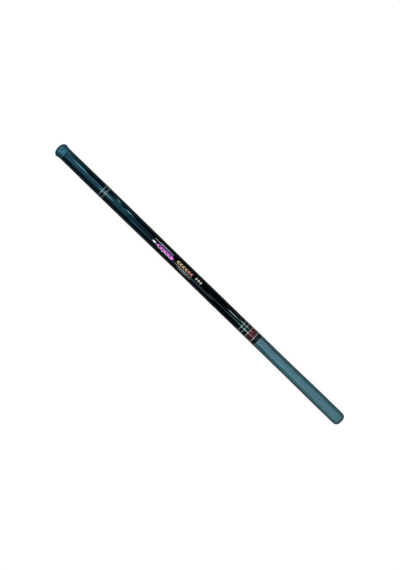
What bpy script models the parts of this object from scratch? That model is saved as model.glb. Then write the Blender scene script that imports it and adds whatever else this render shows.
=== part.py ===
"""Telescopic lake pole as it is carried: nested sections, front plug and screwed butt cap.

X runs along the pole, from the butt face at 0 to the nose of the plug. Lengths are in metres.
"""

import math

import bmesh
import bpy

# Handle tube: its wall at the mouth, how much its bore widens down to the butt, and how far its
# surface stands over that wall at shares of its length
HANDLE_LENGTH = 0.688
HANDLE_WALL = 0.0015
HANDLE_BORE_SPREAD = 0.00041
HANDLE_SWELL = (
    (0.000, 0.00048),
    (0.025, 0.00056),
    (0.090, 0.00055),
    (0.172, 0.00004),
    (0.222, 0.00001),
    (0.289, 0.00012),
    (0.353, -0.00002),
    (0.462, 0.00017),
    (0.549, 0.00007),
    (0.644, 0.00022),
    (0.709, 0.00050),
    (0.775, 0.00073),
    (0.869, 0.00080),
    (1.000, 0.00043),
)
MOUTH_CHAMFER = 0.0003

# Inner sections, from the second to the eighth. The second ends short of the plug's stem, and
# each other one a little past the one around it. Each loses the same radius down to its mouth.
SECTION_WALLS = (0.00080, 0.00070, 0.00062, 0.00055, 0.00050, 0.00045, 0.00040)
SECTION_DROP = 0.00078
SECTION_ROOM = 0.0063
SECTION_STEP = 0.0025
SECTION_OVERLAP = 0.070
SECTION_CHAMFER = 0.00012
LOCK_CLEARANCE = 0.00005

# Wound hoop that stops each section's mouth from splitting
HOOP_LENGTH = 0.020
HOOP_THICKNESS = 0.00020
HOOP_SETBACK = 0.0010

# Solid tip, which ends behind the second section's mouth, with the line braid glued over it
TIP_SETBACK = 0.0020
TIP_BASE_RADIUS = 0.00125
TIP_END_RADIUS = 0.0005
BRAID_OVERLAP = 0.012
BRAID_FREE_LENGTH = 0.020
BRAID_WALL = 0.00020
BRAID_END_RADIUS = 0.00055
WHIPPING_LENGTH = 0.0045
WHIPPING_THICKNESS = 0.00016
KNOT_LENGTH = 0.0020
KNOT_RADIUS = 0.00090

# Soft grip sleeve over the rear of the handle
GRIP_LENGTH = 0.199
GRIP_WALL = 0.00030

# Trim rings, as distances in front of the grip or behind the mouth
RING_WIDTH = 0.0012
RING_THICKNESS = 0.00014
GRIP_RING_OFFSET = 0.0001
BAND_RING_OFFSETS = (0.0098, 0.0239)
REAR_RING_OFFSETS = (0.0331, 0.0405)
FRONT_RING_OFFSETS = (0.1022, 0.0946)
BAND_THICKNESS = 0.00008

# Front plug: head outside the mouth, hollow stem inside it
PLUG_HEAD_LENGTH = 0.0197
PLUG_COLLAR_LENGTH = 0.0034
PLUG_COLLAR_RISE = 0.0002
PLUG_GROOVE_LENGTH = 0.0012
PLUG_GROOVE_DEPTH = 0.00035
PLUG_RIM_RISE = 0.00155
PLUG_DOME_LENGTH = 0.0081
PLUG_FLAT_RADIUS = 0.0035
PLUG_FLARE_STEPS = 7
PLUG_STEM_LENGTH = 0.0200
PLUG_STEM_WALL = 0.0017
PLUG_NOSE_WALL = 0.0060
PLUG_STEM_CHAMFER = 0.0005

# Butt cap: head outside the handle, threaded hollow spigot inside it
CAP_HEAD_LENGTH = 0.0117
CAP_ROUND_LENGTH = 0.0080
CAP_FLAT_RADIUS = 0.0060
CAP_EDGE_CHAMFER = 0.0003
CAP_END_WALL = 0.0050
CAP_SPIGOT_LENGTH = 0.0129
CAP_SPIGOT_WALL = 0.0020
CAP_SPIGOT_CHAMFER = 0.0002

# Thread between the cap and the ferrule glued into the handle
THREAD_PITCH = 0.0020
THREAD_DEPTH = 0.00045
THREAD_CREST_WIDTH = 0.00050
THREAD_BASE_WIDTH = 0.00110
THREAD_TURNS = 4
THREAD_RUN_OUT = 0.25
THREAD_SINK = 0.00030
THREAD_CLEARANCE = 0.00015
FERRULE_LENGTH = 0.0146
FERRULE_WALL = 0.00050
FERRULE_ENTRY_LENGTH = 0.0028
FERRULE_ENTRY_CLEARANCE = 0.00010
FERRULE_PASSAGE = 0.00016

# Rubber rings and the pad that the sections stand on
CORD_RADIUS = 0.0005
CORD_SIDES = 8
CAP_RING_OFFSET = 0.0012
PLUG_RING_OFFSETS = (0.0055, 0.0125)
PAD_THICKNESS = 0.0023
PAD_EDGE_CLEARANCE = 0.0003
PAD_STEM_LENGTH = 0.0080

# Clearances: faces that meet, sleeves glued on, plug in the mouth, and the merge of equal points.
# The middle of a turned facet lies nearer the axis than its corners, which matters to what turns.
SEAT_GAP = 0.0003
FIT_GAP = 0.00003
SLIDE_GAP = 0.00020
MERGE_DISTANCE = 0.0000001
SEGMENTS = 24
ROUND_STEPS = 7
FACET_SHARE = math.cos(math.pi / SEGMENTS)

# Places along the pole that follow from the sizes above
HANDLE_BUTT = CAP_HEAD_LENGTH + SEAT_GAP
HANDLE_MOUTH = HANDLE_BUTT + HANDLE_LENGTH
GRIP_FRONT = HANDLE_BUTT + GRIP_LENGTH
PLUG_SEAT = HANDLE_MOUTH + SEAT_GAP
PLUG_NOSE = PLUG_SEAT + PLUG_HEAD_LENGTH
PLUG_STEM_START = PLUG_SEAT - PLUG_STEM_LENGTH
SPIGOT_END = CAP_HEAD_LENGTH + CAP_SPIGOT_LENGTH
PAD_START = SPIGOT_END + SEAT_GAP
SECTION_BASE = PAD_START + PAD_THICKNESS + SEAT_GAP
SECOND_SECTION_END = PLUG_STEM_START - SECTION_ROOM
TIP_END = SECOND_SECTION_END - TIP_SETBACK


class Tapered:
    """A tapered tube of the pole: where it starts and ends, and its radii on the way."""

    def __init__(self, start, end, radius, bore, taper):
        self.start = start
        self.end = end
        self.radius = radius
        self.bore = bore
        self.taper = taper

    def outer_at(self, x):
        return self.radius - self.taper * (x - self.start)

    def bore_at(self, x):
        return self.bore - self.taper * (x - self.start)


def nested_sections():
    """The second to eighth sections, sized outward so that each piece wedges in the next mouth."""
    sections = []
    inner_radius = TIP_BASE_RADIUS
    for step, wall in reversed(list(enumerate(SECTION_WALLS))):
        end = SECOND_SECTION_END + step * SECTION_STEP
        taper = SECTION_DROP / (end - SECTION_BASE)
        lock = end - SECTION_OVERLAP
        bore = inner_radius + LOCK_CLEARANCE + taper * (lock - SECTION_BASE)
        sections.insert(0, Tapered(SECTION_BASE, end, bore + wall, bore, taper))
        inner_radius = bore + wall
    return sections


def mouth_bore_radius():
    """The handle's bore at its mouth, where the second section's base wedges a little behind."""
    spread = HANDLE_BORE_SPREAD * SECTION_OVERLAP / HANDLE_LENGTH
    return nested_sections()[0].radius + LOCK_CLEARANCE - spread


def handle_bore_at(x):
    return mouth_bore_radius() + HANDLE_BORE_SPREAD * (HANDLE_MOUTH - x) / HANDLE_LENGTH


def handle_surface_at(x):
    """The visible outer radius of the handle, between the stations of its swell."""
    share = (x - HANDLE_BUTT) / HANDLE_LENGTH
    swell = HANDLE_SWELL[-1][1]
    for (low, low_swell), (high, high_swell) in zip(HANDLE_SWELL, HANDLE_SWELL[1:]):
        if share <= high:
            swell = low_swell + (share - low) / (high - low) * (high_swell - low_swell)
            break
    return mouth_bore_radius() + HANDLE_WALL + swell


def handle_stations(start, end):
    """The places of the swell's stations between two places on the handle, ends included."""
    places = [HANDLE_BUTT + share * HANDLE_LENGTH for share, _ in HANDLE_SWELL]
    return [start] + [x for x in places if start < x < end] + [end]


def finish(name, colour, roughness, metallic=0.0):
    material = bpy.data.materials.new(name)
    material.use_nodes = True
    shader = material.node_tree.nodes["Principled BSDF"]
    shader.inputs["Base Color"].default_value = (*colour, 1.0)
    shader.inputs["Roughness"].default_value = roughness
    shader.inputs["Metallic"].default_value = metallic
    return material


def carrier(name, x, parent=None):
    """An empty on the pole's axis that carries one moving body."""
    empty = bpy.data.objects.new(name, None)
    bpy.context.collection.objects.link(empty)
    empty.empty_display_size = mouth_bore_radius()
    empty["place"] = x
    empty.parent = parent
    empty.location.x = x - (parent["place"] if parent else 0.0)
    return empty


def add_mesh(name, bm, material, body, datum):
    """The finished mesh as an object whose origin lies on the pole's axis."""
    bmesh.ops.remove_doubles(bm, verts=bm.verts, dist=MERGE_DISTANCE)
    bmesh.ops.recalc_face_normals(bm, faces=bm.faces)
    mesh = bpy.data.meshes.new(name)
    bm.to_mesh(mesh)
    bm.free()
    mesh.shade_smooth()
    mesh.set_sharp_from_angle(angle=math.radians(40))
    piece = bpy.data.objects.new(name, mesh)
    bpy.context.collection.objects.link(piece)
    if material:
        mesh.materials.append(material)
    piece.parent = body
    piece.location.x = datum - body["place"]
    return piece


def turned(name, outline, material, body):
    """A solid turned about X from (x, radius) points; one that leaves the axis out is a ring."""
    datum = outline[0][0]
    bm = bmesh.new()
    points = [bm.verts.new((x - datum, 0.0, radius)) for x, radius in outline]
    edges = [bm.edges.new(pair) for pair in zip(points, points[1:])]
    if outline[0][1] > 0.0:
        edges.append(bm.edges.new((points[-1], points[0])))
    bmesh.ops.spin(
        bm,
        geom=points + edges,
        cent=(0.0, 0.0, 0.0),
        axis=(1.0, 0.0, 0.0),
        angle=math.tau,
        steps=SEGMENTS,
        use_merge=True,
    )
    return add_mesh(name, bm, material, body, datum)


def rounded_end(x, length, flat, radius):
    """A quarter ellipse from the rim of the flat at x out to the full radius, length away."""
    angles = [math.pi / 2.0 * i / ROUND_STEPS for i in range(ROUND_STEPS + 1)]
    return [(x + length * (1.0 - math.cos(a)), flat + (radius - flat) * math.sin(a)) for a in angles]


def rubber_ring(name, x, radius, material, body):
    """A ring of round rubber cord, given the radius at the middle of the cord."""
    turns = [math.tau * i / CORD_SIDES for i in range(CORD_SIDES)]
    outline = [(x + CORD_RADIUS * math.cos(a), radius + CORD_RADIUS * math.sin(a)) for a in turns]
    return turned(name, outline, material, body)


def sleeve(name, start, end, inner_at, thickness, material, body, stations=None):
    """A thin ring that follows a surface, with a fitting gap under it."""
    places = stations or [start, end]
    outside = [(x, inner_at(x) + FIT_GAP + thickness) for x in places]
    inside = [(x, inner_at(x) + FIT_GAP) for x in reversed(places)]
    return turned(name, outside + inside, material, body)


def thread_coil(name, start, turns, root, crest, growth, body):
    """A helical bar of the thread's section; growth widens it for the cutter of the groove."""
    steps = round(turns * SEGMENTS)
    fade = THREAD_RUN_OUT * SEGMENTS
    flank = (THREAD_BASE_WIDTH - THREAD_CREST_WIDTH) / (2.0 * THREAD_DEPTH)
    crest_half = THREAD_CREST_WIDTH / 2.0 + growth
    sunk = root - THREAD_SINK
    bm = bmesh.new()
    rows = []
    for step in range(steps + 1):
        lift = min(1.0, step / fade, (steps - step) / fade)
        x = start + THREAD_PITCH * step / SEGMENTS
        angle = math.tau * (x - HANDLE_BUTT) / THREAD_PITCH
        top = sunk + THREAD_SINK / 2.0 + lift * (crest - sunk - THREAD_SINK / 2.0)
        base_half = crest_half + flank * (crest - sunk)
        section = ((-base_half, sunk), (-crest_half, top), (crest_half, top), (base_half, sunk))
        row = []
        for offset, radius in section:
            place = (x - HANDLE_BUTT + offset, -radius * math.sin(angle), radius * math.cos(angle))
            row.append(bm.verts.new(place))
        rows.append(row)
    for near, far in zip(rows, rows[1:]):
        for i in range(4):
            bm.faces.new((near[i], near[(i + 1) % 4], far[(i + 1) % 4], far[i]))
    bm.faces.new(rows[0])
    bm.faces.new(rows[-1])
    coil = add_mesh(name, bm, None, body, HANDLE_BUTT)
    coil.hide_render = True
    coil.display_type = "WIRE"
    return coil


def combine(piece, tool, operation):
    boolean = piece.modifiers.new(tool.name, "BOOLEAN")
    boolean.operation = operation
    boolean.solver = "EXACT"
    boolean.object = tool


def build_handle(body, blank, coating):
    """The blank, counterbored for its ferrule and relieved under the grip sleeve."""
    relief = GRIP_WALL + FIT_GAP
    ferrule_seat = ferrule_outer_radius() + FIT_GAP
    seat_end = HANDLE_BUTT + FERRULE_LENGTH + SEAT_GAP
    grip_stations = handle_stations(HANDLE_BUTT, GRIP_FRONT)
    front_stations = handle_stations(GRIP_FRONT + FIT_GAP, HANDLE_MOUTH - MOUTH_CHAMFER)
    outline = [(x, handle_surface_at(x) - relief) for x in grip_stations[:-1]]
    outline.append((GRIP_FRONT + FIT_GAP, handle_surface_at(GRIP_FRONT) - relief))
    outline += [(x, handle_surface_at(x)) for x in front_stations]
    outline.append((HANDLE_MOUTH, handle_surface_at(HANDLE_MOUTH) - MOUTH_CHAMFER))
    outline.append((HANDLE_MOUTH, handle_bore_at(HANDLE_MOUTH)))
    outline.append((seat_end, handle_bore_at(seat_end)))
    outline.append((seat_end, ferrule_seat))
    outline.append((HANDLE_BUTT, ferrule_seat))
    turned("handle_tube", outline, blank, body)

    def under_grip(x):
        return handle_surface_at(x) - relief

    sleeve("grip_sleeve", HANDLE_BUTT, GRIP_FRONT, under_grip, GRIP_WALL, coating, body, grip_stations)


def build_trim(body, thread, foil):
    """The pale wound rings and the dark red band in front of the grip."""
    first, last = (GRIP_FRONT + offset for offset in BAND_RING_OFFSETS)
    places = {
        "grip_ring": GRIP_FRONT + GRIP_RING_OFFSET,
        "band_ring_rear": first,
        "band_ring_front": last,
        "trim_ring_rear": GRIP_FRONT + REAR_RING_OFFSETS[0],
        "trim_ring_front": GRIP_FRONT + REAR_RING_OFFSETS[1],
        "mouth_ring_rear": HANDLE_MOUTH - FRONT_RING_OFFSETS[0],
        "mouth_ring_front": HANDLE_MOUTH - FRONT_RING_OFFSETS[1],
    }
    for name, x in places.items():
        stations = handle_stations(x, x + RING_WIDTH)
        sleeve(name, x, x + RING_WIDTH, handle_surface_at, RING_THICKNESS, thread, body, stations)
    band_start = first + RING_WIDTH + FIT_GAP
    band_end = last - FIT_GAP
    stations = handle_stations(band_start, band_end)
    sleeve("red_band", band_start, band_end, handle_surface_at, BAND_THICKNESS, foil, body, stations)


def ferrule_bore_radius():
    """Wide enough for the second section's base to come out through the butt."""
    return nested_sections()[0].radius + FERRULE_PASSAGE


def thread_root_radius():
    return ferrule_bore_radius() - THREAD_CLEARANCE


def thread_crest_radius():
    return thread_root_radius() + THREAD_DEPTH


def ferrule_entry_radius():
    return thread_crest_radius() + THREAD_CLEARANCE + FERRULE_ENTRY_CLEARANCE


def ferrule_outer_radius():
    return thread_crest_radius() + THREAD_CLEARANCE + FERRULE_WALL


def thread_start():
    """The cap's thread starts just inside the ferrule's plain entry."""
    return HANDLE_BUTT + FERRULE_ENTRY_LENGTH + THREAD_BASE_WIDTH


def build_ferrule(body, metal):
    """The ferrule glued into the butt, with its groove cut along the thread's own helix."""
    end = HANDLE_BUTT + FERRULE_LENGTH
    entry_end = HANDLE_BUTT + FERRULE_ENTRY_LENGTH
    bore = ferrule_bore_radius()
    entry = ferrule_entry_radius()
    outline = [
        (HANDLE_BUTT, ferrule_outer_radius()),
        (end, ferrule_outer_radius()),
        (end, bore),
        (entry_end, bore),
        (entry_end, entry),
        (HANDLE_BUTT, entry),
    ]
    ferrule = turned("butt_ferrule", outline, metal, body)
    crest = thread_crest_radius() + THREAD_CLEARANCE
    groove = thread_coil(
        "ferrule_groove_cutter",
        thread_start() - THREAD_PITCH,
        THREAD_TURNS + 1 + THREAD_RUN_OUT,
        bore,
        crest,
        THREAD_CLEARANCE,
        body,
    )
    combine(ferrule, groove, "DIFFERENCE")


def build_cap(slide, turn, plastic, rubber):
    """The butt cap with its thread, its sealing ring and the pad that the sections stand on."""
    root = thread_root_radius()
    head = handle_surface_at(HANDLE_BUTT)
    cavity = root - CAP_SPIGOT_WALL
    ring_radius = ferrule_entry_radius() - FIT_GAP - CORD_RADIUS
    groove = (ring_radius - CORD_RADIUS) * FACET_SHARE - FIT_GAP
    ring_x = HANDLE_BUTT + CAP_RING_OFFSET
    groove_half = CORD_RADIUS + SLIDE_GAP
    outline = [(0.0, 0.0)]
    outline += rounded_end(0.0, CAP_ROUND_LENGTH, CAP_FLAT_RADIUS, head)
    outline += [
        (CAP_HEAD_LENGTH - CAP_EDGE_CHAMFER, head),
        (CAP_HEAD_LENGTH, head - CAP_EDGE_CHAMFER),
        (CAP_HEAD_LENGTH, root),
        (ring_x - groove_half, root),
        (ring_x - groove_half, groove),
        (ring_x + groove_half, groove),
        (ring_x + groove_half, root),
        (SPIGOT_END - CAP_SPIGOT_CHAMFER, root),
        (SPIGOT_END, root - CAP_SPIGOT_CHAMFER),
        (SPIGOT_END, cavity),
        (CAP_END_WALL, cavity),
        (CAP_END_WALL, 0.0),
    ]
    cap = turned("butt_cap", outline, plastic, turn)
    crest = thread_crest_radius()
    thread = thread_coil("cap_thread_coil", thread_start(), THREAD_TURNS, root, crest, 0.0, turn)
    combine(cap, thread, "UNION")
    rubber_ring("cap_o_ring", ring_x, ring_radius, rubber, slide)

    pad_radius = ferrule_bore_radius() - PAD_EDGE_CLEARANCE
    pad_end = PAD_START + PAD_THICKNESS
    stem = cavity - SLIDE_GAP
    pad = [
        (PAD_START - PAD_STEM_LENGTH, 0.0),
        (PAD_START - PAD_STEM_LENGTH, stem),
        (PAD_START, stem),
        (PAD_START, pad_radius),
        (pad_end, pad_radius),
        (pad_end, 0.0),
    ]
    turned("section_cushion", pad, rubber, turn)


def build_section(number, section, body, blank, winding):
    """One nested section and the hoop wound round its mouth."""
    chamfer = SECTION_CHAMFER
    outline = [
        (section.start, section.radius),
        (section.end - chamfer, section.outer_at(section.end - chamfer)),
        (section.end, section.outer_at(section.end) - chamfer),
        (section.end, section.bore_at(section.end)),
        (section.start, section.bore),
    ]
    turned(f"section_{number}_tube", outline, blank, body)
    hoop_end = section.end - HOOP_SETBACK
    name = f"section_{number}_hoop"
    sleeve(name, hoop_end - HOOP_LENGTH, hoop_end, section.outer_at, HOOP_THICKNESS, winding, body)


def build_tip(body, blank, braid, thread):
    """The solid tip, the braid glued over its end, the whipping on it and the knot."""
    end = TIP_END
    taper = (TIP_BASE_RADIUS - TIP_END_RADIUS) / (end - SECTION_BASE)

    def tip_at(x):
        return TIP_BASE_RADIUS - taper * (x - SECTION_BASE)

    tip = [(SECTION_BASE, 0.0), (SECTION_BASE, TIP_BASE_RADIUS), (end, TIP_END_RADIUS), (end, 0.0)]
    turned("tip_rod", tip, blank, body)

    braid_start = end - BRAID_OVERLAP
    braid_end = end + BRAID_FREE_LENGTH
    outer = tip_at(braid_start) + FIT_GAP + BRAID_WALL
    lilian = [
        (end + SEAT_GAP, 0.0),
        (end + SEAT_GAP, TIP_END_RADIUS + FIT_GAP),
        (braid_start, tip_at(braid_start) + FIT_GAP),
        (braid_start, outer),
        (end, outer),
        (braid_end, BRAID_END_RADIUS),
        (braid_end, 0.0),
    ]
    turned("line_braid", lilian, braid, body)

    def braid_at(_):
        return outer

    whipping_start = braid_start + SEAT_GAP
    whipping_end = whipping_start + WHIPPING_LENGTH
    sleeve("braid_whipping", whipping_start, whipping_end, braid_at, WHIPPING_THICKNESS, thread, body)

    knot_start = braid_end + FIT_GAP
    half = KNOT_LENGTH / 2.0
    near = rounded_end(knot_start, half, 0.0, KNOT_RADIUS)
    far = rounded_end(knot_start + KNOT_LENGTH, -half, 0.0, KNOT_RADIUS)
    turned("braid_knot", near + far[-2::-1], braid, body)


def eased(share):
    """A share from 0 to 1 that starts and ends gently."""
    return share * share * (3.0 - 2.0 * share)


def build_plug(body, plastic, rubber):
    """The front plug: domed head, collar bead and a hollow stem with two rubber rings."""
    mouth = handle_surface_at(HANDLE_MOUTH)
    collar = mouth + PLUG_COLLAR_RISE
    rim = mouth + PLUG_RIM_RISE
    bore = mouth_bore_radius()
    stem = bore - SLIDE_GAP
    collar_end = PLUG_SEAT + PLUG_COLLAR_LENGTH
    groove = collar - PLUG_GROOVE_DEPTH
    groove_end = collar_end + PLUG_GROOVE_LENGTH
    rim_x = PLUG_NOSE - PLUG_DOME_LENGTH
    cavity_end = PLUG_NOSE - PLUG_NOSE_WALL
    cavity = stem - PLUG_STEM_WALL
    outline = [(PLUG_NOSE, 0.0)] + rounded_end(PLUG_NOSE, -PLUG_DOME_LENGTH, PLUG_FLAT_RADIUS, rim)
    for step in range(PLUG_FLARE_STEPS - 1, 0, -1):
        way = step / PLUG_FLARE_STEPS
        rise = eased(way * way)
        outline.append((groove_end + way * (rim_x - groove_end), collar + rise * (rim - collar)))
    outline += [
        (groove_end, collar),
        (groove_end, groove),
        (collar_end, groove),
        (collar_end, collar),
        (PLUG_SEAT, collar),
        (PLUG_SEAT, stem),
    ]
    ring_radius = bore - FIT_GAP - CORD_RADIUS
    ring_floor = ring_radius - CORD_RADIUS - FIT_GAP
    groove_half = CORD_RADIUS + SLIDE_GAP
    ring_places = [PLUG_SEAT - offset for offset in PLUG_RING_OFFSETS]
    for x in ring_places:
        outline.append((x + groove_half, stem))
        outline.append((x + groove_half, ring_floor))
        outline.append((x - groove_half, ring_floor))
        outline.append((x - groove_half, stem))
    outline += [
        (PLUG_STEM_START + PLUG_STEM_CHAMFER, stem),
        (PLUG_STEM_START, stem - PLUG_STEM_CHAMFER),
        (PLUG_STEM_START, cavity),
        (cavity_end, cavity),
        (cavity_end, 0.0),
    ]
    turned("front_plug", outline, plastic, body)
    for number, x in enumerate(ring_places, start=1):
        rubber_ring(f"plug_o_ring_{number}", x, ring_radius, rubber, body)


def main():
    for old in list(bpy.data.objects):
        bpy.data.objects.remove(old, do_unlink=True)

    blank = finish("lacquered_blank", (0.010, 0.026, 0.036), 0.18)
    inner_blank = finish("section_lacquer", (0.012, 0.014, 0.016), 0.25)
    winding = finish("hoop_winding", (0.030, 0.070, 0.085), 0.30)
    coating = finish("soft_coating", (0.055, 0.140, 0.180), 0.60)
    moulded = finish("moulded_plastic", (0.050, 0.125, 0.160), 0.50)
    silver = finish("ring_winding", (0.500, 0.520, 0.490), 0.35, 0.6)
    red = finish("red_foil", (0.120, 0.016, 0.020), 0.30, 0.3)
    metal = finish("ferrule_metal", (0.600, 0.600, 0.620), 0.35, 1.0)
    rubber = finish("black_rubber", (0.020, 0.020, 0.020), 0.80)
    tip_lacquer = finish("tip_lacquer", (0.700, 0.680, 0.600), 0.30)
    braid = finish("red_braid", (0.550, 0.060, 0.030), 0.80)
    thread = finish("whipping_thread", (0.020, 0.020, 0.022), 0.60)

    handle = carrier("handle_axis", 0.0)
    build_handle(handle, blank, coating)
    build_trim(handle, silver, red)
    build_ferrule(handle, metal)

    around = handle
    for number, section in enumerate(nested_sections(), start=2):
        around = carrier(f"section_{number}_axis", SECTION_BASE, around)
        build_section(number, section, around, inner_blank, winding)
    tip = carrier("tip_axis", SECTION_BASE, around)
    build_tip(tip, tip_lacquer, braid, thread)

    build_plug(carrier("front_plug_axis", PLUG_SEAT, tip), moulded, rubber)
    cap_slide = carrier("cap_slide_axis", HANDLE_BUTT, handle)
    build_cap(cap_slide, carrier("cap_turn_axis", HANDLE_BUTT, cap_slide), moulded, rubber)


main()
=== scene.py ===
"""Looks of a closed telescopic lake pole: turned blanks, coatings, wound rings, print and studio.

X runs along the pole from the butt to the nose of the front plug. Lengths are in metres.
"""

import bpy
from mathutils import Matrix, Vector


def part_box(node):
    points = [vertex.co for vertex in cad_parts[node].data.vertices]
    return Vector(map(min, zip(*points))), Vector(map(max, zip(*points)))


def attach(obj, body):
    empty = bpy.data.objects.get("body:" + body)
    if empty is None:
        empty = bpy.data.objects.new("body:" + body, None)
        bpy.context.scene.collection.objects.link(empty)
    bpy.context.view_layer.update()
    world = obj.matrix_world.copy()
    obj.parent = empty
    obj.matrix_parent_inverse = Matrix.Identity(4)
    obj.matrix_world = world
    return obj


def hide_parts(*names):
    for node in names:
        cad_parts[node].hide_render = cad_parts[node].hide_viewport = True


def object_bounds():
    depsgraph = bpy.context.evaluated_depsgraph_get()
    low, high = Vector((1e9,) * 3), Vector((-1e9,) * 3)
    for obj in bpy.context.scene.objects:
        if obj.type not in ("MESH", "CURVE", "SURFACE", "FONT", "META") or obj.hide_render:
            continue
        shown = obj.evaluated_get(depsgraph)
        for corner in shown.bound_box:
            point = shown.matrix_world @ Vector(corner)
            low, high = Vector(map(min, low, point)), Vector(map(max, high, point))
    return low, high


bl_info = {
    "name": "Telescopic Lake Pole",
    "version": (1, 0, 0),
    "blender": (4, 5, 0),
    "location": "3D View > Sidebar > Pole",
    "description": "Builds the finished pieces, materials and studio of a telescopic pole",
    "category": "Object",
}

import math

import bmesh
import bpy
from mathutils import Matrix, Vector

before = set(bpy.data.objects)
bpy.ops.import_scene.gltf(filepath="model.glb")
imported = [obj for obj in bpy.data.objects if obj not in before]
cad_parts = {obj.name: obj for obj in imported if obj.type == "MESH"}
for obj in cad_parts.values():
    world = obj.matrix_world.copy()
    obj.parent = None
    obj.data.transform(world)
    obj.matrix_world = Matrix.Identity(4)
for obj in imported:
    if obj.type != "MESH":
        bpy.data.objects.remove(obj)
cad_low, cad_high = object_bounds()

FIRST_SECTION = 2
LAST_SECTION = 8
TRIM_RINGS = (
    "grip_ring",
    "band_ring_rear",
    "band_ring_front",
    "trim_ring_rear",
    "trim_ring_front",
    "mouth_ring_rear",
    "mouth_ring_front",
)

# Meshes: the distance at which corners merge, the shortest edge that stays, and the spacing of
# the smooth lines of the blank and the grip
MERGE_DISTANCE = 1e-8
SHORTEST_EDGE = 1e-9
LINE_SPACING = 0.004

# A face across the pole counts as a step from this height on
STEP_HEIGHT = 0.0005


# Reading the frame


def corner_radii(node):
    """Sorted (x, smallest radius, largest radius) of a turned CAD node's corners."""
    rows = {}
    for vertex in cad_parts[node].data.vertices:
        x = round(vertex.co.x, 6)
        radius = math.hypot(vertex.co.y, vertex.co.z)
        low, high = rows.get(x, (radius, radius))
        rows[x] = (min(low, radius), max(high, radius))
    return [(x, *rows[x]) for x in sorted(rows)]


def outer_line(node):
    """(x, radius) of the outside of a turned CAD node."""
    return [(x, high) for x, _, high in corner_radii(node)]


def ends_of(node):
    """The places along the pole where a CAD node starts and ends."""
    low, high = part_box(node)
    return low[0], high[0]


def widest(node):
    """The largest radius of a CAD node."""
    return max(high for _, _, high in corner_radii(node))


def steps_between(rows, after, before, height=STEP_HEIGHT):
    """The rows of corner radii between two places that hold a face across the pole."""
    return [row for row in rows if after < row[0] < before and row[2] - row[1] > height]


def straight(start, end, x):
    """The radius at x on the straight line through two (x, radius) points."""
    (x0, r0), (x1, r1) = start, end
    return r0 + (r1 - r0) * (x - x0) / (x1 - x0)


def read_along(points, x):
    """The radius at x on a line of (x, radius) points."""
    if x <= points[0][0]:
        return points[0][1]
    for start, end in zip(points, points[1:]):
        if x <= end[0]:
            return straight(start, end, x)
    return points[-1][1]


def flowing(points, spacing):
    """A smooth line through (x, radius) points, with points about spacing apart."""
    line = [points[0]]
    for i in range(len(points) - 1):
        (x1, r1), (x2, r2) = points[i], points[i + 1]
        x0, r0 = points[max(i - 1, 0)]
        x3, r3 = points[min(i + 2, len(points) - 1)]
        slope1 = (r2 - r0) / (x2 - x0)
        slope2 = (r3 - r1) / (x3 - x1)
        length = x2 - x1
        count = max(1, math.ceil(abs(length) / spacing))
        for step in range(1, count + 1):
            t = step / count
            h1 = 2 * t**3 - 3 * t**2 + 1
            h2 = t**3 - 2 * t**2 + t
            h3 = -2 * t**3 + 3 * t**2
            h4 = t**3 - t**2
            radius = h1 * r1 + h2 * length * slope1 + h3 * r2 + h4 * length * slope2
            line.append((x1 + t * length, radius))
    return line


BUTT, MOUTH = ends_of("handle_tube")
GRIP_FRONT = ends_of("grip_sleeve")[1]
BLANK_LINE = flowing([p for p in outer_line("handle_tube") if GRIP_FRONT < p[0] < MOUTH], LINE_SPACING)
GRIP_LINE = flowing(outer_line("grip_sleeve"), LINE_SPACING)


def blank_radius(x):
    """The outer radius of the lacquered blank at x."""
    return read_along(BLANK_LINE, x)


# Settings


class PoleShape(bpy.types.PropertyGroup):
    """Sizes of the fine forms that the solids leave out."""

    facets: bpy.props.IntProperty(
        name="Facets", description="Facets round the larger pieces", default=96, min=24
    )
    ring_threads: bpy.props.IntProperty(
        name="Ring threads", description="Turns of thread in a trim ring", default=4, min=1
    )
    print_height: bpy.props.FloatProperty(
        name="Print height", description="How far the print stands proud", default=0.00004, unit="LENGTH"
    )
    thread_pitch: bpy.props.FloatProperty(
        name="Thread pitch", description="Pitch of the butt cap's thread", default=0.002, unit="LENGTH"
    )
    thread_depth: bpy.props.FloatProperty(
        name="Thread depth", description="Depth of the butt cap's thread", default=0.00045, unit="LENGTH"
    )


def colour_setting(name, description, default):
    """A colour property."""
    return bpy.props.FloatVectorProperty(
        name=name, description=description, default=default, subtype="COLOR", min=0.0, max=1.0
    )


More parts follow.
